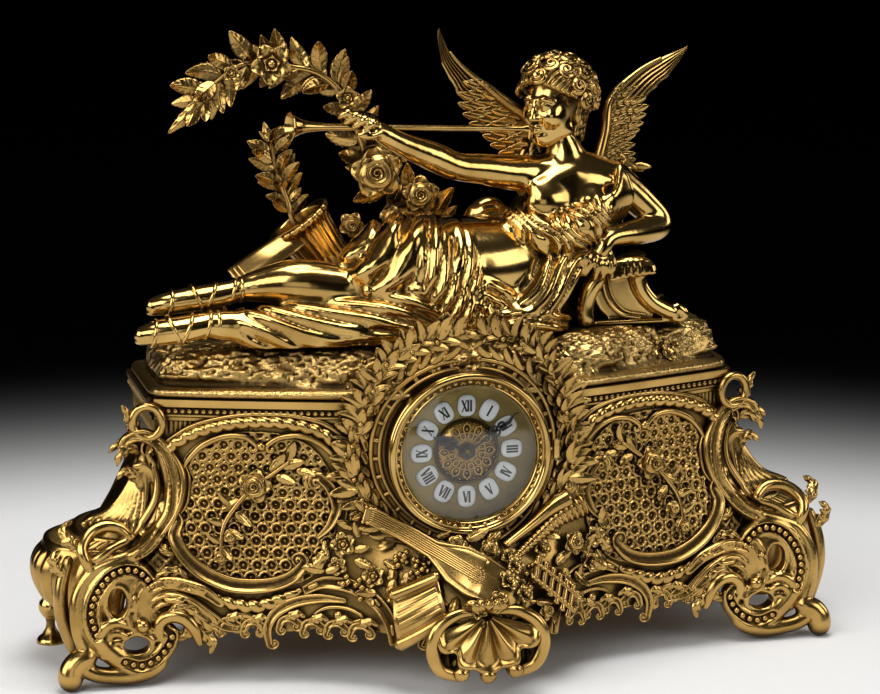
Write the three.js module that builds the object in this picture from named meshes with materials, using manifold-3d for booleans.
// Table clock: a bowed brass case on scroll feet, a round dial and a reclining winged figure on the lid.
// Millimetres, Z up, the dial looks along -Y, the origin is on the ground under the middle.
import * as THREE from "three";
import { mergeVertices } from "three/addons/utils/BufferGeometryUtils.js";
import Module from "manifold-3d";

const wasm = await Module();
wasm.setup();
const { Manifold, Mesh } = wasm;

// Clearances
const seat = 0.3;              // gap between a piece and the piece it is fixed on
const run = 0.4;               // gap around a turning piece
const finish = 0.02;           // faces flatter than this are drawn as one
const far = 600;               // reach of the cutting blocks, beyond the whole clock

// Case
const caseHalfWidth = 196;     // half width at the cornice
const corniceZ = 186;          // top of the case walls
const frontMiddleY = -45;      // front wall on the middle line
const bowDepth = 58;           // how far the cornice corners lie behind the middle
const footBowDepth = 38;       // the same at the apron
const bulgeDepth = 46;         // how far the middle of the apron swells forward
const bulgeWidth = 62;
const wall = 4;                // thickness of the castings
const apronZ = 34;             // lower edge of the front wall
const flareZ = 150;            // height where the walls begin to flare
const cornerFlare = 30;        // flare of the front corners
const sideFlare = 64;          // flare of the side walls
const sideLowZ = 38;           // lower edge of the side walls
const backY = 108;             // inner face of the back plate
const backThickness = 3;
const backLowZ = 52;

// Lid
const lipHeight = 6;
const lipOverhang = 3;
const lidHeight = 33;          // cornice to the flat top
const lidInset = 24;           // from the lip to the edge of the flat top
const lidTopZ = corniceZ + lidHeight;

// Feet
const rearFootY = 96;
const rearFootHeight = sideLowZ - seat;
const toeReach = 62;           // toe outside the cornice
const toeX = caseHalfWidth + toeReach;
const toeBack = 28;            // toe behind the middle of the front wall
const toeY = frontMiddleY + toeBack;
const frontFootHeight = 92;

// Dial
const dialZ = 152;
const bezelRadius = 54;
const bezelBand = 8.6;         // bezel's edge to the dial that is seen
const bezelDepth = 6.5;
const sightRadius = bezelRadius - bezelBand;
const drumLap = 4;             // bezel's edge to the drum's wall
const drumRadius = bezelRadius - drumLap;
const drumWall = 2.5;
const drumFrontY = -50;
const drumDepth = 58;
const dialRadius = drumRadius - drumWall - seat;
const dialThickness = 1.2;
const dialFrontY = -43;
const glassThickness = 2;
const plaqueInset = 15;        // edge of the dial that is seen to the middle of a plaque
const plaqueCircle = sightRadius - plaqueInset;
const plaqueWidth = 11.5;
const plaqueHeight = 14.3;
const plaqueThickness = 1.6;
const innerRingGap = 1.65;     // plaque to the medallion's ring
const innerRingRadius = plaqueCircle - plaqueHeight / 2 - innerRingGap;
const minuteHandInset = 2.4;   // tip of the minute hand to the edge of the dial that is seen
const minuteHandLength = sightRadius - minuteHandInset;
const hourHandLength = 26;
const handHub = 6.6;
const handThickness = 0.8;
const minutesShown = 9;        // minutes past ten in the pose of the photograph
const hingeGap = 4;            // bezel edge to the axis of its hinge
const knuckleRadius = 2.6;
const pinRadius = 1;

// Movement
const moveSize = 56;
const moveDepth = 16;
const moveWall = 1.5;
const bushRadius = 4;
const pipeRadius = 2.7;        // hour pipe
const arborRadius = 1.3;       // minute arbor
const gearDistance = 9;        // between the dial axis and the setting shaft
const cannonTeeth = 8;
const minuteWheelTeeth = 24;
const minutePinionTeeth = 6;
const hourWheelTeeth = 24;
const gearThickness = 1.2;
const knobRadius = 6;
const batteryRadius = 6.7;
const batteryLength = 46;

// Back door
const doorZ = 118;
const doorHole = 46;
const doorRadius = 52;
const doorThickness = 2;

// Figure group, measured from the middle of the lid top
const figureX = 2;
const figureY = 10;
const figureLength = 374;      // from the lower toes to the elbow
const figureUnits = 374;       // that length in the units of the joints below
const floorUnits = 217;        // lid top in those units
const figureScale = figureLength / figureUnits;
const trumpetRadius = 2;
const bellRadius = 9.7;

const vec = (x, y, z) => new THREE.Vector3(x, y, z);
const { lerp } = THREE.MathUtils;
const smooth = (t) => THREE.MathUtils.smoothstep(t, 0, 1);
const steps = (n) => Array.from({ length: n }, (_, i) => (n > 1 ? i / (n - 1) : 0));

// Volume inside a skin; negative when its faces look inward.
function signedVolume(positions, index) {
  let sum = 0;
  for (let i = 0; i < index.length; i += 3) {
    const [a, b, c] = [index[i] * 3, index[i + 1] * 3, index[i + 2] * 3];
    sum += positions[a] * (positions[b + 1] * positions[c + 2] - positions[b + 2] * positions[c + 1]);
    sum -= positions[a + 1] * (positions[b] * positions[c + 2] - positions[b + 2] * positions[c]);
    sum += positions[a + 2] * (positions[b] * positions[c + 1] - positions[b + 1] * positions[c]);
  }
  return sum / 6;
}

// Solid body from a closed geometry, with its faces turned outward.
function solid(geometry) {
  const bare = geometry.clone();
  bare.deleteAttribute("normal");
  bare.deleteAttribute("uv");
  const merged = mergeVertices(bare, 1e-4);
  const positions = Float32Array.from(merged.attributes.position.array);
  const corners = Array.from(merged.index.array);
  const index = [];
  for (let i = 0; i < corners.length; i += 3) {
    const [a, b, c] = corners.slice(i, i + 3);
    if (a !== b && b !== c && c !== a) {
      index.push(a, b, c);
    }
  }
  if (signedVolume(positions, index) < 0) {
    for (let i = 0; i < index.length; i += 3) {
      [index[i], index[i + 1]] = [index[i + 1], index[i]];
    }
  }
  return new Manifold(new Mesh({ numProp: 3, vertProperties: positions,
  triVerts: Uint32Array.from(index) }));
}

// Geometry of a solid body.
function surface(body) {
  const mesh = body.getMesh();
  const positions = new Float32Array(mesh.numVert * 3);
  for (let i = 0; i < mesh.numVert; i++) {
    for (let k = 0; k < 3; k++) {
      positions[i * 3 + k] = mesh.vertProperties[i * mesh.numProp + k];
    }
  }
  const geometry = new THREE.BufferGeometry();
  geometry.setAttribute("position", new THREE.BufferAttribute(positions, 3));
  geometry.setIndex(new THREE.BufferAttribute(Uint32Array.from(mesh.triVerts), 1));
  geometry.computeVertexNormals();
  return geometry;
}

function joined(bodies) {
  return bodies.reduce((sum, body) => sum.add(body));
}

// The largest body that is left after a cut.
function largest(body) {
  const pieces = body.decompose();
  return pieces.reduce((best, piece) => (piece.volume() > best.volume() ? piece : best));
}

// A piece with its neighbour, and the seat gap around that neighbour, taken off.
function seated(piece, neighbour, ways) {
  let cut = piece.subtract(neighbour);
  for (const [x, y, z] of ways) {
    cut = cut.subtract(neighbour.translate([x * seat, y * seat, z * seat]));
  }
  return largest(cut);
}

const allWays = [[1, 0, 0], [-1, 0, 0], [0, 1, 0], [0, -1, 0], [0, 0, 1], [0, 0, -1]];
const forward = [[0, -1, 0]];
const outward = [[0, -1, 0], [1, 0, 0], [0, 0, -1]];
const backward = [[0, 1, 0], [0, 0, 1]];

function skin(points, index) {
  const geometry = new THREE.BufferGeometry();
  geometry.setFromPoints(points);
  geometry.setIndex(index);
  return solid(geometry);
}

// Closed skin over rings of points; both ends are fans to their middle point.
function loft(rings) {
  const sides = rings[0].length;
  const points = rings.flat();
  const index = [];
  for (let i = 0; i + 1 < rings.length; i++) {
    for (let j = 0; j < sides; j++) {
      const a = i * sides + j;
      const b = i * sides + ((j + 1) % sides);
      index.push(a, b, b + sides, a, b + sides, a + sides);
    }
  }
  for (const [ring, turned] of [[0, true], [rings.length - 1, false]]) {
    const middle = points.length;
    points.push(rings[ring].reduce((sum, p) => sum.add(p), vec(0, 0, 0)).divideScalar(sides));
    for (let j = 0; j < sides; j++) {
      const a = ring * sides + j;
      const b = ring * sides + ((j + 1) % sides);
      index.push(...(turned ? [b, a, middle] : [a, b, middle]));
    }
  }
  return skin(points, index);
}

// Closed sheet between two grids of points with the same rows and columns.
function slab(front, back) {
  const rows = front.length;
  const columns = front[0].length;
  const points = [...front.flat(), ...back.flat()];
  const at = (side, r, c) => side * rows * columns + r * columns + c;
  const index = [];
  const quad = (a, b, c, d) => index.push(a, b, c, a, c, d);
  for (let r = 0; r + 1 < rows; r++) {
    for (let c = 0; c + 1 < columns; c++) {
      quad(at(0, r, c), at(0, r, c + 1), at(0, r + 1, c + 1), at(0, r + 1, c));
      quad(at(1, r, c), at(1, r + 1, c), at(1, r + 1, c + 1), at(1, r, c + 1));
    }
    quad(at(0, r, 0), at(0, r + 1, 0), at(1, r + 1, 0), at(1, r, 0));
    const end = columns - 1;
    quad(at(0, r, end), at(1, r, end), at(1, r + 1, end), at(0, r + 1, end));
  }
  for (let c = 0; c + 1 < columns; c++) {
    quad(at(0, 0, c), at(1, 0, c), at(1, 0, c + 1), at(0, 0, c + 1));
    const end = rows - 1;
    quad(at(0, end, c), at(0, end, c + 1), at(1, end, c + 1), at(1, end, c));
  }
  return skin(points, index);
}

// Section swept along a path; its second axis starts near up and is carried along without a twist.
function sweep(path, section, up, size) {
  const lift = up.clone();
  const rings = path.map((point, i) => {
    const along = path[Math.min(i + 1, path.length - 1)].clone().sub(path[Math.max(i - 1, 0)]).normalize();
    lift.addScaledVector(along, -lift.dot(along)).normalize();
    const side = along.clone().cross(lift);
    const s = size(path.length > 1 ? i / (path.length - 1) : 0);
    return section.map(([a, b]) => point.clone().addScaledVector(side, a * s).addScaledVector(lift, b * s));
  });
  return loft(rings);
}

const circle = (sides) => steps(sides + 1).slice(0, sides).map((t) => {
  const angle = 2 * Math.PI * t;
  return [Math.cos(angle), Math.sin(angle)];
});

// Rounded limb through joints given as [x, y, z, radius].
function limb(joints, sides, count) {
  const curve = new THREE.CatmullRomCurve3(joints.map(([x, y, z]) => vec(x, y, z)));
  const radius = (t) => {
    const place = t * (joints.length - 1);
    const i = Math.min(Math.floor(place), joints.length - 2);
    return lerp(joints[i][3], joints[i + 1][3], place - i);
  };
  const path = steps(count).map((t) => curve.getPoint(t));
  const sizes = steps(count).map((t) => radius(t));
  const first = path[0].clone().sub(path[1]).normalize();
  const last = path[count - 1].clone().sub(path[count - 2]).normalize();
  path.unshift(path[0].clone().addScaledVector(first, sizes[0] * 0.6));
  path.push(path[count].clone().addScaledVector(last, sizes[count - 1] * 0.6));
  sizes.unshift(sizes[0] * 0.55);
  sizes.push(sizes[count] * 0.55);
  const up = Math.abs(first.y) > 0.8 ? vec(0, 0, 1) : vec(0, 1, 0);
  return sweep(path, circle(sides), up, (t) => sizes[Math.round(t * (sizes.length - 1))]);
}

// Pointed leaf blade with a raised midrib.
function leaf(base, along, face, length, width, thickness) {
  const dir = along.clone().normalize();
  const side = dir.clone().cross(face).normalize();
  const lift = side.clone().cross(dir).normalize();
  const place = (t, s, h) => base.clone().addScaledVector(dir, t * length)
    .addScaledVector(side, s * width).addScaledVector(lift, h * thickness);
  const points = [place(0, 0, 0), place(1, 0, 0), place(0.45, 0.5, 0), place(0.4, 0, 1),
    place(0.45, -0.5, 0), place(0.4, 0, -0.6)];
  const index = [2, 3, 4, 5].flatMap((j, k) => {
    const next = 2 + ((k + 1) % 4);
    return [0, next, j, 1, j, next];
  });
  return skin(points, index);
}

// Open flower: a turned cup whose rim swings in and out once for every petal.
function flower(middle, face, radius, depth, petals) {
  const profile = [[0.5, -0.4], [1, 0.35], [0.72, 0.5], [0.35, 0.2], [0.25, 0.65]];
  const count = petals * 2;
  const rings = profile.map(([r, h]) => circle(count).map(([c, s], i) => {
    const swing = i % 2 && r > 0.5 ? 0.84 : 1;
    return vec(c * r * radius * swing, s * r * radius * swing, h * depth);
  }));
  const turn = new THREE.Quaternion().setFromUnitVectors(vec(0, 0, 1), face.clone().normalize());
  return loft(rings.map((ring) => ring.map((p) => p.applyQuaternion(turn).add(middle))));
}

function turned(profile, segments) {
  return solid(new THREE.LatheGeometry(profile.map(([r, h]) => new THREE.Vector2(r, h)), segments));
}

// Turned body on the dial's axis, which runs along Y; the profile holds radii and y values.
function dialTurned(profile, segments) {
  return turned([...profile, profile[0]], segments).translate([0, 0, dialZ]);
}

function rod(from, to, radius, sides) {
  const along = to.clone().sub(from);
  const geometry = new THREE.CylinderGeometry(radius, radius, along.length(), sides);
  geometry.applyQuaternion(new THREE.Quaternion().setFromUnitVectors(vec(0, 1, 0),
  along.clone().normalize()));
  geometry.translate((from.x + to.x) / 2, (from.y + to.y) / 2, (from.z + to.z) / 2);
  return solid(geometry);
}

function block(x0, x1, y0, y1, z0, z1) {
  const geometry = new THREE.BoxGeometry(x1 - x0, y1 - y0, z1 - z0);
  geometry.translate((x0 + x1) / 2, (y0 + y1) / 2, (z0 + z1) / 2);
  return solid(geometry);
}

function ball(middle, rx, ry, rz, wide, high) {
  const geometry = new THREE.SphereGeometry(1, wide, high);
  geometry.rotateX(Math.PI / 2);
  geometry.scale(rx, ry, rz);
  geometry.translate(middle.x, middle.y, middle.z);
  return solid(geometry);
}

// Outline points at the given x and z, drawn from y0 to y1.
function drawnPlate(outline, y0, y1) {
  const front = outline.map(([x, z]) => new THREE.Vector2(x, z));
  const geometry = new THREE.ExtrudeGeometry(new THREE.Shape(front), { depth: y1 - y0,
    bevelEnabled: false });
  const place = new THREE.Matrix4().set(1, 0, 0, 0, 0, 0, -1, y1, 0, 1, 0, 0, 0, 0, 0, 1);
  geometry.applyMatrix4(place);
  return solid(geometry);
}

const mirrored = (body) => body.mirror([1, 0, 0]);

// Share of the flare at a height: 0 at the flare line, 1 at the apron.
const low = (z) => smooth((flareZ - z) / (flareZ - apronZ));
const halfAt = (z) => caseHalfWidth + cornerFlare * low(z);

// Outer face of the front wall: a bow in plan, with a swelling at the middle of the apron.
function frontY(x, z) {
  const across = Math.min(Math.abs(x) / halfAt(z), 1);
  const bow = lerp(bowDepth, footBowDepth, low(z)) * across ** 1.3;
  return frontMiddleY + bow - bulgeDepth * low(z) ** 2 * Math.exp(-((x / bulgeWidth) ** 2));
}

const onFront = (x, z, lift) => vec(x, frontY(x, z) - lift, z);

// Outer face of the right side wall.
const cornerY = (z) => frontY(halfAt(z), z) + wall + seat;
function sideX(y, z) {
  const back = THREE.MathUtils.clamp((y - cornerY(z)) / (backY - cornerY(z)), 0, 1);
  const flare = sideFlare * THREE.MathUtils.clamp((flareZ - z) / (flareZ - sideLowZ), 0, 1) ** 1.6;
  return lerp(halfAt(z), caseHalfWidth + flare, smooth(back * 2));
}

const ridge = [[-1, -0.9], [1, -0.9], [0.5, 0.8], [-0.5, 0.8]];
const outFront = vec(0, -1, 0);

// Moulding along points [x, z] of the front wall.
function moulding(points, width, count) {
  const curve = new THREE.CatmullRomCurve3(points.map(([x, z]) => onFront(x, z, width * 0.5)));
  return sweep(curve.getSpacedPoints(count - 1), ridge, outFront, () => width);
}

// Front casting; each row of its grid is a height and how far the face stands out there
const lowEdge = (u) => apronZ + 5 * Math.cos(9 * u) ** 2 + 30 * smooth((Math.abs(u) - 0.72) / 0.28);
const barLift = 4;
const corniceLift = 5;
const corniceHeight = 12;
const frontRows = [[0, barLift], [0.05, barLift], [0.075, 0], [0.3, 0], [0.62, 0], [1, 0]];
function frontGrid(back) {
  const top = corniceZ - corniceHeight;
  const levels = (u) => [...frontRows.map(([v, lift]) => [lerp(lowEdge(u), top, v), lift]),
    [top + 1, corniceLift], [corniceZ, corniceLift]];
  const columns = steps(15).map((t) => levels(2 * t - 1).map(([z, lift]) => {
    const x = (2 * t - 1) * halfAt(z);
    return vec(x, frontY(x, z) + (back ? wall : -lift), z);
  }));
  return columns;
}
const panelInset = 62;         // middle of a panel inside the cornice corner
const panelX = caseHalfWidth - panelInset;
const panelZ = 116;
const panelHalf = 53;
const panelRise = 54;
const panelPoint = ([a, b]) => [panelX + a * panelHalf, panelZ + b * panelRise];
const panelLift = 2;           // raised ground of a panel
// Rounded square on the panel at a share of its size.
const panelRing = (share, lift) => circle(10).map(([c, s]) => {
  const reach = share * (Math.abs(c) ** 2.6 + Math.abs(s) ** 2.6) ** (-1 / 2.6);
  return onFront(...panelPoint([c * reach, s * reach]), lift);
});
const panelGround = loft([panelRing(0.94, -1), panelRing(0.94, panelLift), panelRing(0.47, panelLift)]);
// Scrolls around a panel and on the apron: half width, then points in shares of the panel.
const scrolls = [
  [4, [[1.04, 0.67], [0.34, 0.99], [-0.06, 1.04], [-0.43, 1.02], [-0.92, 0.78]]],
  [5, [[0.92, -0.22], [0.91, -0.56], [0.55, -0.85], [-0.08, -0.94], [-0.53, -0.7]]],
  [4.2, [[-0.72, -0.37], [-0.96, 0], [-0.79, 0.35]]],
  [6, [[1.12, 0.64], [0.91, 0.31], [1.15, -0.3], [1.3, -0.46]]],
  [4.6, [[0.98, -0.92], [0.68, -1.02], [0.28, -1.17], [0.02, -1.19], [-0.49, -1], [-0.83, -0.91],
    [-1.15, -0.96], [-1.4, -1.16]]],
  [5, [[0.98, -1.1], [0.62, -1.3], [0.23, -1.43]]],
];
const flangeDepth = 3.5;
const drumHole = joined([rod(vec(0, drumFrontY - 60, dialZ), vec(0, drumFrontY + drumDepth + 1, dialZ),
  drumRadius + 3 * seat, 26), rod(vec(0, drumFrontY - 60, dialZ), vec(0, drumFrontY + flangeDepth + seat,
  dialZ), bezelRadius + 1.2, 26)]);
const frontScrolls = scrolls.map(([width, points]) => moulding(points.map(panelPoint), width,
  points.length));
const rightHalfSpace = block(0, far, -far, far, -far, far);
// The right half of a body and its mirror image as one body.
function twoHalves(body) {
  const right = body.intersect(rightHalfSpace);
  return right.add(mirrored(right));
}
const frontCasting = twoHalves(joined([slab(frontGrid(false), frontGrid(true)), panelGround,
  ...frontScrolls]).subtract(drumHole));

// Side castings
const sideRows = [0, 0.15, 0.3, 0.45, 0.6, 0.78, 1];
const sideGrid = (back) => {
  const top = corniceZ - corniceHeight;
  const levels = [...sideRows.map((v) => [lerp(sideLowZ, top, v), 0]), [top + 1, corniceLift],
    [corniceZ, corniceLift]];
  return levels.map(([z, lift]) => steps(5).map((t) => {
    const y = lerp(cornerY(z), backY, t);
    return vec(sideX(y, z) + (back ? -wall : lift), y, z);
  }));
};
const scallopY = 50;
const scallopZ = 94;
const scallopRadius = 48;
const scallopLift = 34;
const scallopGrid = (out) => steps(4).map((r) => steps(11).map((t, i) => {
  const angle = (2 * t - 1) * 1.15;
  const reach = 0.12 + 0.88 * r;
  const y = scallopY + scallopRadius * reach * Math.sin(angle);
  const z = scallopZ - scallopRadius * reach * Math.cos(angle);
  const face = sideX(Math.min(y, backY), Math.max(z, sideLowZ));
  const lift = scallopLift * Math.sin(Math.PI * reach ** 0.8) * (i % 2 ? 0.85 : 1) + 3;
  return vec(out ? face + lift : face - wall / 2, y, z);
}));
// Joint near a front corner, given by its distances outside and behind the corner.
const onCorner = ([dx, dy, z, r]) => [halfAt(z) + dx, cornerY(z) + dy, z, r];
const consoleLeaf = limb([[1, 0.7, 158, 6], [4.4, 1.7, 134, 9], [14, 4.7, 108, 10], [24.7, 8.3, 86, 8]]
  .map(onCorner), 5, 4);
const curlLeaf = limb([[1, 0.7, 165, 4], [12, -3.3, 168, 5], [21, -6.3, 158, 4], [14, -7.3, 147, 2.5]]
  .map(onCorner), 4, 5);
const onSide = (y, z, r) => [sideX(y, z) + r * 0.6, y, z, r];
const consoleRib = limb([onSide(15, 152, 3.2), onSide(19, 118, 3.4), onSide(23, 96, 3)], 4, 3);
// Band that arches over the scallop.
const sideBand = limb(steps(5).map((t) => onSide(lerp(cornerY(98) + 10, backY - 3, t),
  scallopZ - 4 + 12 * Math.sin(Math.PI * t), 4.5)), 4, 5);
const screwInset = 10;
const screwX = caseHalfWidth - screwInset;
const screwZ = 140;
const screwBoss = 6;
const screwRadius = 1.8;
const screwDepth = 12;
const boss = block(screwX - screwBoss, sideX(backY, screwZ) - wall / 2, backY - screwDepth - 2, backY,
  screwZ - screwBoss, screwZ + screwBoss);
const screwHole = rod(vec(screwX, backY - screwDepth, screwZ), vec(screwX, backY + screwDepth, screwZ),
  screwRadius + seat, 10);
const behindBack = block(-far, far, backY, far, -far, far);
const underSide = block(-far, far, -far, far, -far, sideLowZ);
const sideSolid = joined([slab(sideGrid(false), sideGrid(true)), slab(scallopGrid(true), scallopGrid(false)),
  consoleLeaf, curlLeaf, consoleRib, sideBand, boss])
  .subtract(screwHole).subtract(behindBack).subtract(underSide);
const sideCasting = seated(sideSolid, frontCasting, [[1, 0, 0], [0, 1, 0]]);

// Front foot: two C-scrolls that meet at the toe.
const footSection = [[-1, -1.5], [0.8, -1.5], [1, 0.6], [0.1, 1.6], [-0.9, 1]];
const footPath = (points, count) => new THREE.CatmullRomCurve3(points
  .map(([x, y, z]) => vec(toeX + x, toeY + y, z * frontFootHeight))).getSpacedPoints(count - 1);
const outerScroll = footPath([[-2, 0, 0.06], [-10, 2, 0.24], [-16, 5, 0.44], [-13, 8, 0.66],
  [-20, 10, 0.86], [-38, 10, 0.95], [-58, 8, 0.9], [-66, 8, 0.74], [-56, 8, 0.64]], 13);
const innerScroll = footPath([[0, 0, 0.07], [-18, 2, 0.08], [-38, 4, 0.14], [-54, 6, 0.28], [-58, 6, 0.46],
  [-46, 6, 0.56], [-36, 6, 0.48]], 9);
const bridge = footPath([[-16, 5, 0.46], [-30, 6, 0.44], [-44, 6, 0.52]], 4);
const toe = ball(vec(toeX + 1, toeY, 9), 10, 10, 12, 8, 5);
const underFloor = block(-far, far, -far, far, -far, 0);
const frontFoot = seated(seated(joined([sweep(outerScroll, footSection, outFront, (t) => lerp(6.2, 4.6, t)),
  sweep(innerScroll, footSection, outFront, (t) => lerp(5.6, 4, t)), sweep(bridge, footSection, outFront,
  () => 4), toe]).subtract(underFloor), frontCasting, outward), sideCasting, outward);

// Rear foot: a turned baluster under the side casting.
const rearFootX = sideX(rearFootY, sideLowZ) - wall / 2;
const rearFoot = turned([[0, 0], [10, 0], [10, 0.08], [6, 0.16], [3, 0.32], [3.2, 0.45], [7, 0.58],
  [8, 0.72], [5, 0.86], [6.5, 0.92], [6.5, 1], [0, 1]].map(([r, h]) => [r, h * rearFootHeight]), 10)
  .rotate([90, 0, 0]).translate([rearFootX, rearFootY, 0]);

// Lid: rings of one plan outline, drawn in by their inset.
function lidRing(inset, z) {
  const half = caseHalfWidth + lipOverhang - inset;
  const front = steps(13).map((t) => {
    const x = (2 * t - 1) * half;
    return vec(x, frontMiddleY - lipOverhang + inset + bowDepth * Math.abs(x / half) ** 1.3, z);
  });
  const back = backY - inset;
  const rear = [[half, back - 12], [half - 8, back], [half / 2, back], [0, back], [-half / 2, back],
    [8 - half, back], [-half, back - 12]].map(([x, y]) => vec(x, y, z));
  return [...front, ...rear];
}
const lidBase = corniceZ + seat;
const lidLevels = [[0, 0], [0, lipHeight / lidHeight], [8, 0.24], [13, 0.7], [lidInset, 1]];
const lidHollow = [[wall * 1.6, -0.05], [12 + wall, 0.3], [lidInset, 1 - wall / lidHeight]];
const lidRings = (levels) => loft(levels.map(([inset, v]) => lidRing(inset, lerp(lidBase, lidTopZ, v))));
const boltSpots = [[30, 24], [-74, 28]].map(([x, y]) => [figureX + x, figureY + y]);
const boltRadius = 2.4;
const boltHoles = joined(boltSpots.map(([x, y]) => rod(vec(x, y, lidTopZ - 12), vec(x, y, lidTopZ + 9),
  boltRadius + seat, 8)));
const lidCasting = twoHalves(lidRings(lidLevels).subtract(lidRings(lidHollow)).subtract(drumHole))
  .subtract(boltHoles);

// Back plate with a round door
const plateY = backY + seat;
const plateBack = plateY + backThickness;
const plateHeights = [backLowZ, 68, 84, 100, 120, flareZ, corniceZ];
const plateEdge = plateHeights.map((z) => [sideX(backY, z), z]);
const doorX = -doorRadius - hingeGap;
const doorY = plateBack + seat + knuckleRadius;
const axisRod = (x, y, z, from, to, radius) => rod(vec(x, y, z + from), vec(x, y, z + to), radius, 10);
const knuckleHalf = 6;
const lugHeight = 5;
// Heights above and below a knuckle between which its two lugs stand.
const lugSpans = (half, height) => [[half + run, half + run + height], [-half - run - height, -half - run]];
const lugPair = (x, y, z, half, height) => lugSpans(half, height)
  .map(([from, to]) => axisRod(x, y, z, from, to, knuckleRadius));
const doorLugs = lugSpans(knuckleHalf, lugHeight).map(([from, to]) => block(doorX - knuckleRadius,
  doorX + knuckleRadius * 0.6, plateBack - 1, doorY, doorZ + from, doorZ + to));
const doorPinHole = axisRod(doorX, doorY, doorZ, -30, 30, pinRadius + seat);
const plateBody = drawnPlate([...plateEdge, ...plateEdge.map(([x, z]) => [-x, z]).reverse()], plateY,
  plateBack);
const backPlate = largest(joined([plateBody, ...lugPair(doorX, doorY, doorZ, knuckleHalf, lugHeight),
  ...doorLugs])
  .subtract(rod(vec(0, plateY - 1, doorZ), vec(0, plateBack + 1, doorZ), doorHole, 20))
  .subtract(screwHole).subtract(mirrored(screwHole)).subtract(doorPinHole));
const doorFace = plateBack + seat;
const doorBody = joined([rod(vec(0, doorFace, doorZ), vec(0, doorFace + doorThickness, doorZ),
  doorRadius, 22), block(doorX, -doorRadius + 6, doorFace, doorFace + doorThickness, doorZ - knuckleHalf,
  doorZ + knuckleHalf), axisRod(doorX, doorY, doorZ, -knuckleHalf, knuckleHalf, knuckleRadius),
  rod(vec(doorRadius - 8, doorFace, doorZ), vec(doorRadius - 8, doorFace + 9, doorZ), 3.5, 10)]);
const backDoor = largest(doorBody.subtract(doorPinHole));
const doorPin = axisRod(doorX, doorY, doorZ, -knuckleHalf - lugHeight, knuckleHalf + lugHeight, pinRadius);
const backScrew = joined([rod(vec(screwX, backY - screwDepth + seat, screwZ), vec(screwX,
  plateBack + 1.5, screwZ),
  screwRadius, 10), rod(vec(screwX, plateBack + seat, screwZ), vec(screwX, plateBack + 2.6, screwZ),
  screwRadius * 2, 10)]);

// Bottom shell, hung at the middle of the apron
const shellZ = apronZ + 22;
const shellRadius = 40;
const shellGrid = (out) => steps(4).map((r) => steps(13).map((t, i) => {
  const angle = (2 * t - 1) * 1.2;
  const reach = 0.15 + 0.85 * r;
  const x = shellRadius * reach * Math.sin(angle);
  const z = shellZ - shellRadius * reach * Math.cos(angle);
  const lift = 11 * Math.sin(Math.PI * Math.min(reach, 0.85)) * (i % 2 ? 0.8 : 1);
  const y = frontY(0, apronZ) - 5;
  return vec(x, out ? y - lift : y + 5 * (1 - reach), z);
}));
const shellDrop = seated(joined([slab(shellGrid(true), shellGrid(false)), ball(vec(0, frontY(0,
  apronZ) - 10, 20), 6, 6, 6, 6, 4)]), frontCasting, [[0, -1, 0], [0, 0, -1]]);

// Rose spray on a panel
function sprayBody() {
  const stem = new THREE.CatmullRomCurve3([[-26, -26], [-8, -12], [4, 4], [14, 22], [22, 34]]
    .map(([a, b]) => onFront(panelX + a, panelZ + b, panelLift + 2))).getSpacedPoints(6);
  const places = [[-20, -20, -1, -0.2], [-10, -14, 0.4, -1], [8, 10, 1, 0.1], [14, 20, -0.8, 0.6]];
  const leaves = places.map(([a, b, dx, dz]) => leaf(onFront(panelX + a, panelZ + b, panelLift + 2.2),
    vec(dx, -0.1, dz), outFront, 18, 11, 2.2));
  const rose = flower(onFront(panelX + 2, panelZ + 2, panelLift + 6), outFront, 15, 11, 4);
  const bud = flower(onFront(panelX + 21, panelZ + 32, panelLift + 4), outFront, 7, 8, 3);
  return joined([sweep(stem, circle(4), outFront, () => 2.6), ...leaves, rose, bud]);
}
const roseSpray = seated(sprayBody(), frontCasting, forward);

// Laurel branch that follows the dial's right edge and leans in over its top.
const laurelRadius = bezelRadius + 18;
function laurelPoint(angle, out) {
  const x = (laurelRadius + out) * Math.cos(angle);
  const z = dialZ + (laurelRadius + out) * Math.sin(angle);
  return vec(x, frontY(x, Math.min(z, corniceZ)) - 3 - 7 * smooth((z - corniceZ + 20) / 20), z);
}
const laurelAngles = steps(7).map((t) => lerp(-0.42, 1.3, t));
const laurelLeaves = laurelAngles.flatMap((angle, i) => [-1, 1].map((turn) => {
  const base = laurelPoint(angle, 0);
  const tip = laurelPoint(angle + 0.2, turn * 9);
  return leaf(base.clone().add(vec(0, -1, 0)), tip.sub(base), outFront, 19 - 0.3 * i, 9, 2);
}));
const laurelStem = sweep(laurelAngles.map((angle) => laurelPoint(angle, 0)), circle(4), outFront,
  () => 2.4);
const laurelBranch = seated(seated(joined([laurelStem, ...laurelLeaves]), frontCasting, forward),
  lidCasting, [[0, -1, 0], [0, 0, 1]]);

// Trophy of music under the dial
const onTrophy = (x, z, lift, r) => [x, frontY(x, Math.max(z, apronZ)) - lift, z, r];
const mandolin = limb([onTrophy(8, 62, 9, 9), onTrophy(-4, 72, 9, 15), onTrophy(-16, 81, 8, 13),
  onTrophy(-28, 90, 7, 5), onTrophy(-48, 102, 6, 3.4), onTrophy(-66, 113, 5, 4.2)], 7, 9);
const point3 = ([x, y, z]) => vec(x, y, z);
const roll = (a, b, lift, r) => rod(point3(onTrophy(...a, lift, 0)), point3(onTrophy(...b, lift, 0)), r, 6);
const songSheet = limb([onTrophy(-54, 62, 5, 7), onTrophy(-44, 56, 7, 9), onTrophy(-32, 52, 8, 8)], 6, 4);
const pipes = drawnPlate([[30, 58], [50, 62], [50, 86], [45, 86], [44, 82], [38, 82], [37, 78], [28, 78]],
  frontY(40, 70) - 10, frontY(40, 70) + 4);
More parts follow.
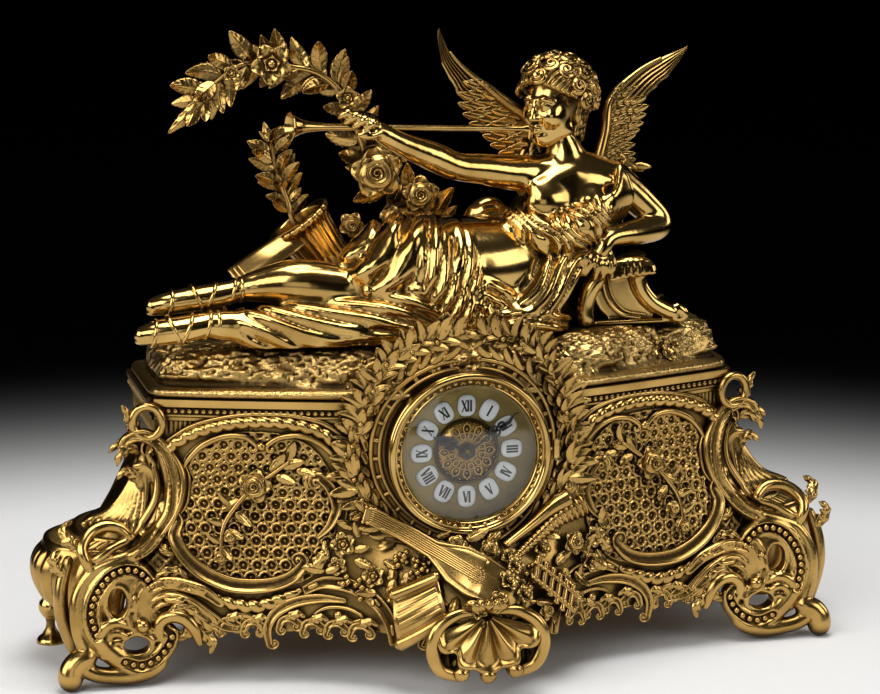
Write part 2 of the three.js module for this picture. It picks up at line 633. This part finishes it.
const torch = limb([onTrophy(38, 84, 5, 4), onTrophy(48, 98, 5, 5), onTrophy(55, 107, 5, 8)], 5, 4);
const trophyMound = ball(vec(0, frontY(0, 74) + 3, 74), 56, 14, 22, 8, 4);
const trophyFlowers = [[18, 80, 10], [20, 60, 10]]
  .map(([x, z, r]) => flower(onFront(x, z, 9), outFront, r, 9, 4));
const trophyLeaves = [[-70, 96, -1, 0.2], [-66, 80, -1, -0.6], [60, 90, 1, 0.1]]
  .map(([x, z, dx, dz]) => leaf(onFront(x * 0.8, z, 3), vec(dx, 0, dz), outFront, 26, 12, 3));
const trophySolid = seated(seated(joined([trophyMound, mandolin, songSheet, roll([-60, 62], [-34, 72], 8,
  4.5), roll([-52, 42], [-26, 52], 9, 4.5), pipes, torch, ...trophyFlowers, ...trophyLeaves])
  .subtract(rod(vec(0, -200, dialZ), vec(0, 0, dialZ), bezelRadius + 2, 32)), frontCasting, forward),
shellDrop, [[0, 0, 1], [0, -1, 0]]);
const trophy = seated(trophySolid, laurelBranch.add(mirrored(laurelBranch)), [[0, -1, 0], [0, 0, -1]]);

// Drum, dial and glazed bezel
const drumBackY = drumFrontY + drumDepth;
const drumInner = drumRadius - drumWall;
const ledgeY = dialFrontY + dialThickness + seat;
const flangeRadius = bezelRadius - 1;
const hingeX = bezelRadius + hingeGap;
const hingeY = drumFrontY - 3;
const bezelHalf = 3.5;
const bezelLug = 3.6;
const bezelLugBlocks = lugSpans(bezelHalf, bezelLug).flatMap(([from, to]) => [
  block(hingeX - knuckleRadius, hingeX + knuckleRadius, hingeY, drumFrontY + flangeDepth, dialZ + from,
  dialZ + to),
  block(drumRadius - 1, hingeX, drumFrontY, drumFrontY + flangeDepth, dialZ + from, dialZ + to)]);
const bezelPinHole = axisRod(hingeX, hingeY, dialZ, -20, 20, pinRadius + seat);
const drumBody = dialTurned([[flangeRadius, drumFrontY], [flangeRadius, drumFrontY + flangeDepth],
  [drumRadius, drumFrontY + flangeDepth], [drumRadius, drumBackY], [drumInner, drumBackY],
  [drumInner, ledgeY + 3],
  [sightRadius, ledgeY + 3], [sightRadius, ledgeY], [drumInner, ledgeY], [drumInner, drumFrontY]], 26);
const drum = largest(joined([drumBody, ...lugPair(hingeX, hingeY, dialZ, bezelHalf, bezelLug),
  ...bezelLugBlocks])
  .subtract(bezelPinHole));
const bezelBackY = drumFrontY - seat;
const bezelFrontY = bezelBackY - bezelDepth;
const rebate = sightRadius + 1.4;
const rebateY = bezelBackY - glassThickness - 1.2;
const bezelRing = dialTurned([[sightRadius, rebateY], [sightRadius, bezelFrontY + 0.9],
  [sightRadius + 1.6, bezelFrontY + 0.3], [bezelRadius - 4, bezelFrontY + 1.6],
  [bezelRadius - 2, bezelFrontY],
  [bezelRadius, bezelFrontY + 2], [bezelRadius, bezelBackY], [rebate, bezelBackY], [rebate, rebateY]], 28);
const bezelWeb = block(bezelRadius - 1.5, hingeX, hingeY - 1.2, hingeY + 1.2, dialZ - bezelHalf,
  dialZ + bezelHalf);
const bezelDoor = largest(joined([bezelRing, bezelWeb, axisRod(hingeX, hingeY, dialZ, -bezelHalf, bezelHalf,
  knuckleRadius)]).subtract(bezelPinHole));
const bezelPin = axisRod(hingeX, hingeY, dialZ, -bezelHalf - bezelLug, bezelHalf + bezelLug, pinRadius);
const glassEdge = rebate - seat;
const glassFront = rebateY + seat;
const glassDome = 2.4;
const domeAt = (r) => -glassDome * (1 - (r / sightRadius) ** 2);
const glassRadii = [0, 0.55, 0.96];
const glass = turned([...glassRadii.map((k) => [k * sightRadius, glassFront + domeAt(k * sightRadius)]),
  [glassEdge, glassFront], [glassEdge, glassFront + glassThickness],
  ...glassRadii.slice().reverse().map((k) => [k * sightRadius,
  glassFront + glassThickness + domeAt(k * sightRadius)])],
22).translate([0, 0, dialZ]);
const dialBore = bushRadius + seat;
const dialBackY = dialFrontY + dialThickness;
const dialPlate = dialTurned([[dialBore, dialFrontY], [dialRadius, dialFrontY], [dialRadius, dialBackY],
  [dialBore, dialBackY]], 26);
const nutRadius = bushRadius * 1.55;
const medallionY = dialFrontY - seat;
const medallion = dialTurned([[nutRadius + 0.8, medallionY], [innerRingRadius, medallionY],
  [innerRingRadius - 0.8, medallionY - 1.5], [innerRingRadius - 3, medallionY - 1.5],
  [innerRingRadius - 4.2, medallionY - 0.6], [nutRadius + 0.8, medallionY - 0.6]], 20);

// Point at u across and v along a direction that lies clockwise from twelve o'clock.
const clockPoint = (u, v, angle) => [v * Math.sin(angle) + u * Math.cos(angle),
  dialZ + v * Math.cos(angle) - u * Math.sin(angle)];
const plaqueOutline = [[-0.5, -0.28], [-0.36, -0.5], [0.36, -0.5], [0.5, -0.28], [0.5, 0.3], [0.3, 0.5],
  [-0.3, 0.5], [-0.5, 0.3]];
const plaque = (hour) => drawnPlate(plaqueOutline.map(([u, v]) => clockPoint(u * plaqueWidth,
  plaqueCircle + v * plaqueHeight, hour * Math.PI / 6)), medallionY - plaqueThickness, medallionY);

// Serpentine hand: a waving blade with a leaf end, on a round hub with a bore.
function hand(length, angle, backAt, bore) {
  const widths = [2.4, 1.2, 1, 3.2, 1.6, 0.9, 1.9, 0.25];
  const middle = (t) => 0.05 * length * Math.sin(3 * Math.PI * t) * (1 - t);
  const places = steps(widths.length).map((t) => lerp(handHub * 0.6, length, t));
  const edge = (sign) => places.map((v, i) => clockPoint(middle(v / length) + sign * widths[i] / 2, v,
    angle));
  const blade = drawnPlate([...edge(1), ...edge(-1).reverse()], backAt - handThickness, backAt);
  const hub = rod(vec(0, backAt - handThickness, dialZ), vec(0, backAt, dialZ), handHub, 14);
  return largest(blade.add(hub).subtract(rod(vec(0, backAt - 9, dialZ), vec(0, backAt + 9, dialZ), bore,
  10)));
}
const minuteAngle = minutesShown * Math.PI / 30;
const hourAngle = (10 + minutesShown / 60) * Math.PI / 6;
const bushFrontY = medallionY - 1.9;
const hourBackY = bushFrontY - run;
const minuteBackY = hourBackY - handThickness - 1;
const hourHand = hand(hourHandLength, hourAngle, hourBackY, pipeRadius + seat);
const minuteHand = hand(minuteHandLength, minuteAngle, minuteBackY, arborRadius + seat);
const handFrontY = minuteBackY - handThickness;
const handNut = turned([[0, 0], [2.6, 0], [2.6, 0.9], [1.5, 1.9], [0, 2.2]].map(([r, h]) => [r, -h]), 10)
  .translate([0, handFrontY - seat, dialZ]);
const bushNut = rod(vec(0, medallionY - 1.5, dialZ), vec(0, medallionY, dialZ), nutRadius, 6)
  .subtract(rod(vec(0, medallionY - 5, dialZ), vec(0, medallionY + 5, dialZ), bushRadius + seat, 12));

// Quartz movement behind the dial, with the motion work that turns the hands
const moveY = dialBackY + seat;
const moveBackY = moveY + moveDepth;
const moveHalf = moveSize / 2;
const pocketLowZ = dialZ - 9;
const bayTopZ = pocketLowZ - 2 * moveWall;
const moveCase = joined([block(-moveHalf, moveHalf, moveY, moveBackY, dialZ - moveHalf, dialZ + moveHalf),
  rod(vec(0, bushFrontY, dialZ), vec(0, moveY + 1, dialZ), bushRadius, 14)])
  .subtract(rod(vec(0, bushFrontY - 5, dialZ), vec(0, moveY + moveWall + 1, dialZ), pipeRadius + run, 14))
  .subtract(block(moveWall - moveHalf, moveHalf - moveWall, moveY + moveWall, moveBackY + 5, pocketLowZ,
    dialZ + moveHalf - moveWall))
  .subtract(block(moveWall - moveHalf, moveHalf - moveWall, moveY + moveWall, moveBackY + 5,
  dialZ - moveHalf + moveWall, bayTopZ));
// Spur gear with slim teeth; the size of its teeth follows from its mate and their distance.
function gear(teeth, mate, phase, z, y0) {
  const size = 2 * gearDistance / (teeth + mate);
  const root = size * (teeth / 2 - 1.15);
  const tip = size * (teeth / 2 + 0.8);
  const pitch = 2 * Math.PI / teeth;
  const outline = steps(teeth + 1).slice(0, teeth).flatMap((t) => {
    const at = 2 * Math.PI * t + phase;
    return [[root, -0.26], [tip, 0], [root, 0.26]].map(([r, k]) => [r * Math.cos(at + k * pitch),
      z + r * Math.sin(at + k * pitch)]);
  });
  return drawnPlate(outline, y0, y0 + gearThickness);
}
const upAngle = Math.PI / 2;
const hourGearY = moveY + moveWall + run;
const wheelGearY = hourGearY + gearThickness + run;
const wheelZ = dialZ + gearDistance;
const coverY = moveBackY + seat;
const coverBackY = coverY + moveWall;
const pivotRadius = 0.8;
const hourWheel = joined([gear(hourWheelTeeth, minutePinionTeeth, upAngle + Math.PI / hourWheelTeeth,
  dialZ, hourGearY),
  rod(vec(0, hourBackY - handThickness, dialZ), vec(0, hourGearY + gearThickness, dialZ), pipeRadius, 12)])
  .subtract(rod(vec(0, hourBackY - 5, dialZ), vec(0, wheelGearY, dialZ), arborRadius + run, 12));
const cannonPinion = joined([gear(cannonTeeth, minuteWheelTeeth, upAngle, dialZ, wheelGearY),
  rod(vec(0, handFrontY, dialZ), vec(0, wheelGearY + gearThickness, dialZ), arborRadius, 10),
  rod(vec(0, wheelGearY, dialZ), vec(0, coverBackY - 0.4, dialZ), pivotRadius, 8)]);
const settingWheel = joined([gear(minuteWheelTeeth, cannonTeeth, -upAngle + Math.PI / minuteWheelTeeth,
  wheelZ, wheelGearY), gear(minutePinionTeeth, hourWheelTeeth, -upAngle, wheelZ, hourGearY),
  rod(vec(0, hourGearY, wheelZ), vec(0, coverBackY + 3, wheelZ), pivotRadius * 1.4, 10)]);
const knobGap = coverBackY + run;
const settingKnob = rod(vec(0, knobGap, wheelZ), vec(0, knobGap + 6, wheelZ), knobRadius, 16)
  .subtract(rod(vec(0, knobGap - 5, wheelZ), vec(0, coverBackY + 3 + seat, wheelZ),
  pivotRadius * 1.4 + seat, 10));
const moveCover = block(-moveHalf, moveHalf, coverY, coverBackY, pocketLowZ - moveWall, dialZ + moveHalf)
  .subtract(rod(vec(0, coverY - 5, dialZ), vec(0, coverBackY + 5, dialZ), pivotRadius + run, 8))
  .subtract(rod(vec(0, coverY - 5, wheelZ), vec(0, coverBackY + 5, wheelZ), pivotRadius * 1.4 + run, 10));
const bayFloorZ = dialZ - moveHalf + moveWall;
const batteryY = moveY + moveWall + seat + batteryRadius;
const battery = rod(vec(-batteryLength / 2, batteryY, bayFloorZ + seat + batteryRadius),
  vec(batteryLength / 2, batteryY, bayFloorZ + seat + batteryRadius), batteryRadius, 12);
const coilX = -moveHalf + moveWall + 3;
const coilY = moveY + moveWall + seat;
const coilZ = wheelZ + 11;
const coil = joined([rod(vec(coilX, coilY + 4, coilZ), vec(coilX + 17, coilY + 4, coilZ), 3, 8),
  block(coilX - 2, coilX, coilY, coilY + 8, coilZ - 4, coilZ + 4),
  block(coilX + 17, coilX + 19, coilY, coilY + 8, coilZ - 4, coilZ + 4)]);

// Reclining figure; joints are given from the middle of the lid top.
const spot = (x, y, z) => vec(figureX + x * figureScale, figureY + y * figureScale,
  lidTopZ + (z - floorUnits) * figureScale);
const lump = (place, radii, wide, high) => ball(spot(...place), ...radii.map((r) => r * figureScale), wide,
  high);
const bar = (from, to, radius, sides) => rod(spot(...from), spot(...to), radius * figureScale, sides);
const onLid = (joints) => joints.map(([x, y, z, r]) => [...spot(x, y, z).toArray(), r * figureScale]);
const torso = limb(onLid([[30, 16, 250, 25], [44, 17, 260, 24], [60, 18, 276, 22], [76, 20, 294, 23],
  [85, 21, 308, 21], [86, 20, 322, 12], [85, 20, 334, 9.6], [79, 21, 352, 9]]), 7, 7);
const chest = [lump([84, 20, 302], [29, 19, 28], 7, 4),
  limb(onLid([[56, 17, 321, 10.5], [86, 21, 323, 11], [120, 23, 315, 10.5]]), 5, 3),
  lump([66, 3, 303], [12, 9, 11], 5, 4), lump([99, 3, 300], [12, 9, 11], 5, 4)];
const head = joined([lump([76, 21, 371], [21, 20, 22], 7, 5), lump([72, 18.6, 358], [13.5, 13, 17], 6, 4),
  limb(onLid([[62.5, 12, 367, 2.4], [59, 9.5, 359.5, 2.8]]), 4, 2)]);
const hair = [lump([89, 30, 370], [21, 19, 21], 7, 5),
  limb(onLid([[95, 33, 362, 14], [98, 33, 347, 11.5], [95, 31, 336, 8]]), 6, 3)];
const raisedArm = limb(onLid([[56, 17, 321, 10.5], [24, 8, 326, 8.3], [5, 3, 329, 7.4], [-10, 0, 336, 8],
  [-35, -6, 347, 5.8], [-52, -9, 355, 4.8], [-66, -12, 359, 4.8]]), 5, 7);
const leaningArm = limb(onLid([[120, 23, 314, 10.5], [138, 25, 299, 9.5], [153, 24, 282, 8],
  [134, 11, 276, 7.6], [111, -3, 271, 4.8], [102, -6, 264, 5.4], [96, -8, 255, 4]]), 5, 8);
const upperLeg = limb(onLid([[-30, 6, 258, 20], [-62, 4, 250, 14], [-82, 4, 251, 12.8], [-104, 5, 255, 12.4],
  [-126, 6, 254, 7.8], [-141, 6, 252.5, 5.6]]), 6, 6);
const feet = [[[-141, 6, 252, 5.8], [-155, 6, 247, 7.6], [-175, 6, 244.5, 7], [-197, 6, 242, 4.6]],
  [[-163, -9, 235, 6.4], [-175, -9, 230.5, 8], [-193, -9, 229, 7.4], [-207, -9, 228, 4.8]]]
  .map((joints) => limb(onLid(joints), 5, 4));
// Skirt whose pleats let its radius out and in along the thigh.
const skirt = limb(onLid([[44, 14, 263, 25], [20, 11, 260, 29], [6, 10, 261, 31], [-1, 9, 262, 27.5],
  [-8, 8, 262, 31.5], [-15, 8, 263, 27], [-22, 7, 264, 31], [-29, 6, 265, 26], [-36, 6, 265, 29],
  [-43, 5, 263, 22.5], [-50, 4, 260, 22]]), 7, 11);
const wrap = limb(onLid([[20, -4, 240, 23], [-22, -8, 238, 20], [-66, -10, 231, 17], [-104, -10, 229.5, 14.8],
  [-136, -10, 231, 11.2], [-165, -9, 234.5, 6.6]]), 6, 6);
const drapery = [
  [[76, 18, 225, 12], [40, 20, 228, 23], [-20, 20, 229, 24], [-84, 16, 226, 17], [-128, 12, 222, 8]],
  [[74, -2, 223, 8], [30, -14, 226, 12], [-30, -16, 226, 11], [-84, -13, 224, 9], [-124, -14, 221, 6]]]
  .map((joints) => limb(onLid(joints), 5, 5));
const folds = [
  [[-14, 2, 290, 7], [-16, -16, 276, 8], [-13, -21, 258, 9], [-1, -22, 240, 9], [10, -20, 224, 8]],
  [[4, 0, 286, 6], [4, -16, 270, 6.5], [8, -19, 250, 7], [18, -18, 234, 7], [30, -14, 224, 7]],
  [[84, 2, 270, 8], [74, -3, 258, 10], [60, -8, 243, 11], [44, -13, 229, 9]],
  [[44, 4, 291, 6], [56, -3, 285, 8], [72, -6, 282, 9], [88, -4, 286, 9.5], [102, 0, 296, 8]],
  [[121, 9, 323, 3], [119, 4, 308, 5.5], [112, 1, 295, 7], [106, 1, 283, 5]]]
  .map((joints) => limb(onLid(joints), 4, 3));
const lidTopBlock = block(-far, far, -far, far, 0, lidTopZ + seat);
const trumpetMouth = spot(56, 10, 351.5);
const trumpetBell = spot(-110, -18, 361.5);
const trumpetProfile = [[0, 0], [2.6, 0], [1.3, 0.02], [1, 0.06], [1, 0.5], [1.3, 0.8], [1.9, 0.9],
  [3.2, 0.97], [4.85, 1], [4.2, 1], [2.4, 0.96], [0, 0.94]];
const trumpetLength = trumpetMouth.distanceTo(trumpetBell);
const trumpetTurn = new THREE.Quaternion().setFromUnitVectors(vec(0, 1, 0),
  trumpetBell.clone().sub(trumpetMouth).normalize());
const trumpetSize = (r) => (r > 3 ? r * bellRadius / 4.85 : r * trumpetRadius);
const trumpetGeometry = new THREE.LatheGeometry(trumpetProfile.map(([r,
  h]) => new THREE.Vector2(trumpetSize(r),
  h * trumpetLength)), 10).applyQuaternion(trumpetTurn).translate(trumpetMouth.x, trumpetMouth.y,
  trumpetMouth.z);
const trumpet = solid(trumpetGeometry);
const figureSolid = joined([torso, ...chest, head, ...hair, raisedArm, leaningArm, upperLeg, ...feet,
  skirt, wrap, ...drapery, ...folds]).subtract(lidTopBlock);
const figure = seated(figureSolid.subtract(boltHoles), trumpet, allWays);
const boltAt = ([x, y]) => joined([rod(vec(x, y, lidTopZ - wall - 2), vec(x, y, lidTopZ + 8), boltRadius,
  8), rod(vec(x, y, lidTopZ - wall - 4), vec(x, y, lidTopZ - wall - seat), boltRadius * 2, 6)]);

// Wing: long feathers that fan out from the root, lapped like slats.
function wing(root, tips, leading) {
  const feathers = tips.map(([x, y, z], i) => {
    const tip = spot(x, y, z);
    return leaf(root.clone().add(vec(0, i % 2, 0)), tip.clone().sub(root), outFront,
      root.distanceTo(tip), 20 * figureScale, 3 * figureScale);
  });
  return joined([limb(onLid(leading), 6, 6), ...feathers]);
}
const leftWing = seated(wing(spot(64, 46, 336), [[8, 62, 416], [12, 60, 398], [15, 59, 382], [20, 58, 366],
  [30, 56, 350]], [[78, 38, 314, 9], [62, 48, 340, 8], [38, 58, 372, 5], [12, 62, 408, 2]]), figure,
[...backward, [-1, 0, 0]]);
const rightWing = seated(wing(spot(114, 46, 330), [[186, 62, 400], [178, 60, 384], [168, 59, 368],
  [160, 58, 354], [150, 56, 342]], [[102, 35, 320, 9], [120, 48, 342, 8], [150, 58, 378, 5],
  [182, 62, 398, 2]]), figure, [...backward, [1, 0, 0]]);

// Flower arch behind the legs
const archCurve = new THREE.CatmullRomCurve3([[14, 52, 217], [9, 52, 256], [0, 49, 290], [-24, 46, 308],
  [-43, 45, 326], [-56, 45, 358], [-67, 45, 383], [-90, 45, 399], [-116, 45, 402], [-140, 45, 390],
  [-158, 45, 375], [-176, 45, 355]].map(([x, y, z]) => spot(x, y, z)));
const archPath = archCurve.getSpacedPoints(15);
const archLeaves = steps(7).flatMap((t, i) => {
  const place = lerp(0.32, 0.97, t);
  const base = archCurve.getPointAt(place);
  const along = archCurve.getTangentAt(place);
  const side = along.clone().cross(outFront).normalize();
  const foot = base.clone().add(vec(0, -figureScale, 0));
  return [-1, 1].map((turn) => leaf(foot, along.clone().addScaledVector(side, turn * 0.9), outFront,
    (22 - (i % 3) * 3) * figureScale, 10 * figureScale, 2.2 * figureScale));
});
const archBlooms = [[0.43, 13], [0.72, 12], [0.34, 11]].map(([t, r]) => flower(archCurve.getPointAt(t)
  .add(vec(0, -4 * figureScale, 0)), vec(0.1, -1, 0.2), r * figureScale, 9 * figureScale, 4));
const archStem = sweep(archPath, circle(4), outFront, (t) => figureScale * lerp(4.2, 1.6, t));
const flowerArch = seated(seated(joined([archStem, ...archLeaves, ...archBlooms]).subtract(lidTopBlock),
  figure, backward), trumpet, [[0, 1, 0]]);

// Quiver with a laurel sprig
const quiverPath = [[-52, 44, 217, 9], [-62, 45, 240, 11], [-78, 46, 268, 15], [-92, 47, 290, 19]];
const quiverBody = limb(onLid(quiverPath), 10, 6);
const scrollRoll = bar([-140, 34, 266], [-96, 44, 284], 9, 9);
const quiver = seated(seated(joined([quiverBody, scrollRoll]).subtract(lidTopBlock), figure, backward),
  flowerArch, [[-1, 0, 0], [0, -1, 0]]);
const sprigCurve = new THREE.CatmullRomCurve3([[-94, 47, 290], [-102, 49, 316], [-112, 50, 338],
  [-121, 50, 355]]
  .map(([x, y, z]) => spot(x, y, z)));
const sprigLeaves = steps(5).flatMap((t) => [-1, 1].map((turn) => leaf(sprigCurve.getPointAt(lerp(0.3,
  0.76, t)), vec(turn - 0.3, -0.2, 1.1), outFront, 19 * figureScale, 8 * figureScale, 1.8 * figureScale)));
const sprigStem = sweep(sprigCurve.getSpacedPoints(5), circle(5), outFront, () => 1.8 * figureScale);
const laurelSprig = seated(joined([sprigStem, ...sprigLeaves]), quiver, backward);

// Scroll stool under the leaning arm
const stoolOutline = [[88, 217], [170, 217], [168, 231], [154, 236], [150, 248], [154, 262], [134, 273],
  [112, 272], [104, 260], [110, 244], [88, 228]]
  .map(([x, z]) => [spot(x, 0, z).x, spot(x, 0, z).z]);
const stoolBody = joined([drawnPlate(stoolOutline, spot(0, 2, 0).y, spot(0, 42, 0).y),
  bar([160, -2, 227], [160, 46, 227], 9, 7), bar([120, -2, 264], [120, 46, 264], 8, 7),
  lump([132, 2, 256], [12, 9, 12], 6, 4)]);
const stool = seated(stoolBody.subtract(lidTopBlock), figure, outward);

const gilt = { color: 0xb58a3c, roughness: 0.34, metalness: 1 };
const steel = { color: 0x9a9a96, roughness: 0.4, metalness: 1 };
const enamel = { color: 0xece8dc, roughness: 0.25, metalness: 0 };
const black = { color: 0x141312, roughness: 0.4, metalness: 0.2 };
const nylon = { color: 0x26262a, roughness: 0.6, metalness: 0 };
const whiteNylon = { color: 0xd9d6cc, roughness: 0.6, metalness: 0 };
const pane = { color: 0xdfe8e6, roughness: 0.05, metalness: 0, transparent: true, opacity: 0.25 };
const bright = { color: 0xc49a48, roughness: 0.22, metalness: 1 };
const copper = { color: 0xa85f34, roughness: 0.45, metalness: 1 };
const grain = { color: 0xb89a58, roughness: 0.6, metalness: 0.9 };

const pieces = [
  ["front_casting", frontCasting, gilt], ["right_side_casting", sideCasting, gilt],
  ["left_side_casting", mirrored(sideCasting), gilt], ["right_front_foot", frontFoot, gilt],
  ["left_front_foot", mirrored(frontFoot), gilt], ["right_rear_foot", rearFoot, gilt],
  ["left_rear_foot", mirrored(rearFoot), gilt], ["lid_casting", lidCasting, gilt],
  ["back_plate", backPlate, gilt],
  ["back_door", backDoor, gilt], ["back_door_pin", doorPin, steel], ["shell_drop", shellDrop, gilt],
  ["right_rose_spray", roseSpray, gilt], ["left_rose_spray", mirrored(roseSpray), gilt],
  ["right_laurel_branch", laurelBranch, gilt], ["left_laurel_branch", mirrored(laurelBranch), gilt],
  ["music_trophy", trophy, gilt], ["dial_drum", drum, bright], ["bezel_door", bezelDoor, bright],
  ["bezel_hinge_pin", bezelPin, steel], ["dial_glass", glass, pane], ["dial_plate", dialPlate, grain],
  ["dial_medallion", medallion, bright], ["hour_hand", hourHand, black], ["minute_hand", minuteHand, black],
  ["hand_nut", handNut, bright], ["bush_nut", bushNut, bright], ["movement_case", moveCase, nylon],
  ["movement_cover", moveCover, nylon], ["battery_cell", battery, steel], ["motor_coil", coil, copper],
  ["cannon_pinion", cannonPinion, bright], ["hour_wheel", hourWheel, whiteNylon],
  ["setting_wheel", settingWheel, whiteNylon], ["setting_knob", settingKnob, whiteNylon],
  ["winged_figure", figure, gilt], ["left_wing", leftWing, gilt], ["right_wing", rightWing, gilt],
  ["trumpet", trumpet, bright], ["flower_arch", flowerArch, gilt], ["quiver", quiver, gilt],
  ["laurel_sprig", laurelSprig, gilt], ["scroll_stool", stool, gilt],
  ["right_figure_bolt", boltAt(boltSpots[0]), steel], ["left_figure_bolt", boltAt(boltSpots[1]), steel],
];
for (let hour = 1; hour <= 12; hour++) {
  pieces.push([`numeral_plaque_${String(hour).padStart(2, "0")}`, plaque(hour), enamel]);
}
pieces.push(["right_back_screw", backScrew, steel], ["left_back_screw", mirrored(backScrew), steel]);

// The origin lies under the middle of the whole clock's width and depth.
const extent = new THREE.Box3();
for (const [, body] of pieces) {
  const { min, max } = body.boundingBox();
  extent.expandByPoint(vec(...min)).expandByPoint(vec(...max));
}
const centre = extent.getCenter(vec(0, 0, 0));

const group = new THREE.Group();
for (const [name, body, look] of pieces) {
  const geometry = surface(largest(body.simplify(finish))).translate(-centre.x, -centre.y, -extent.min.z);
  const mesh = new THREE.Mesh(geometry, new THREE.MeshStandardMaterial(look));
  mesh.name = name;
  group.add(mesh);
}

export default group;
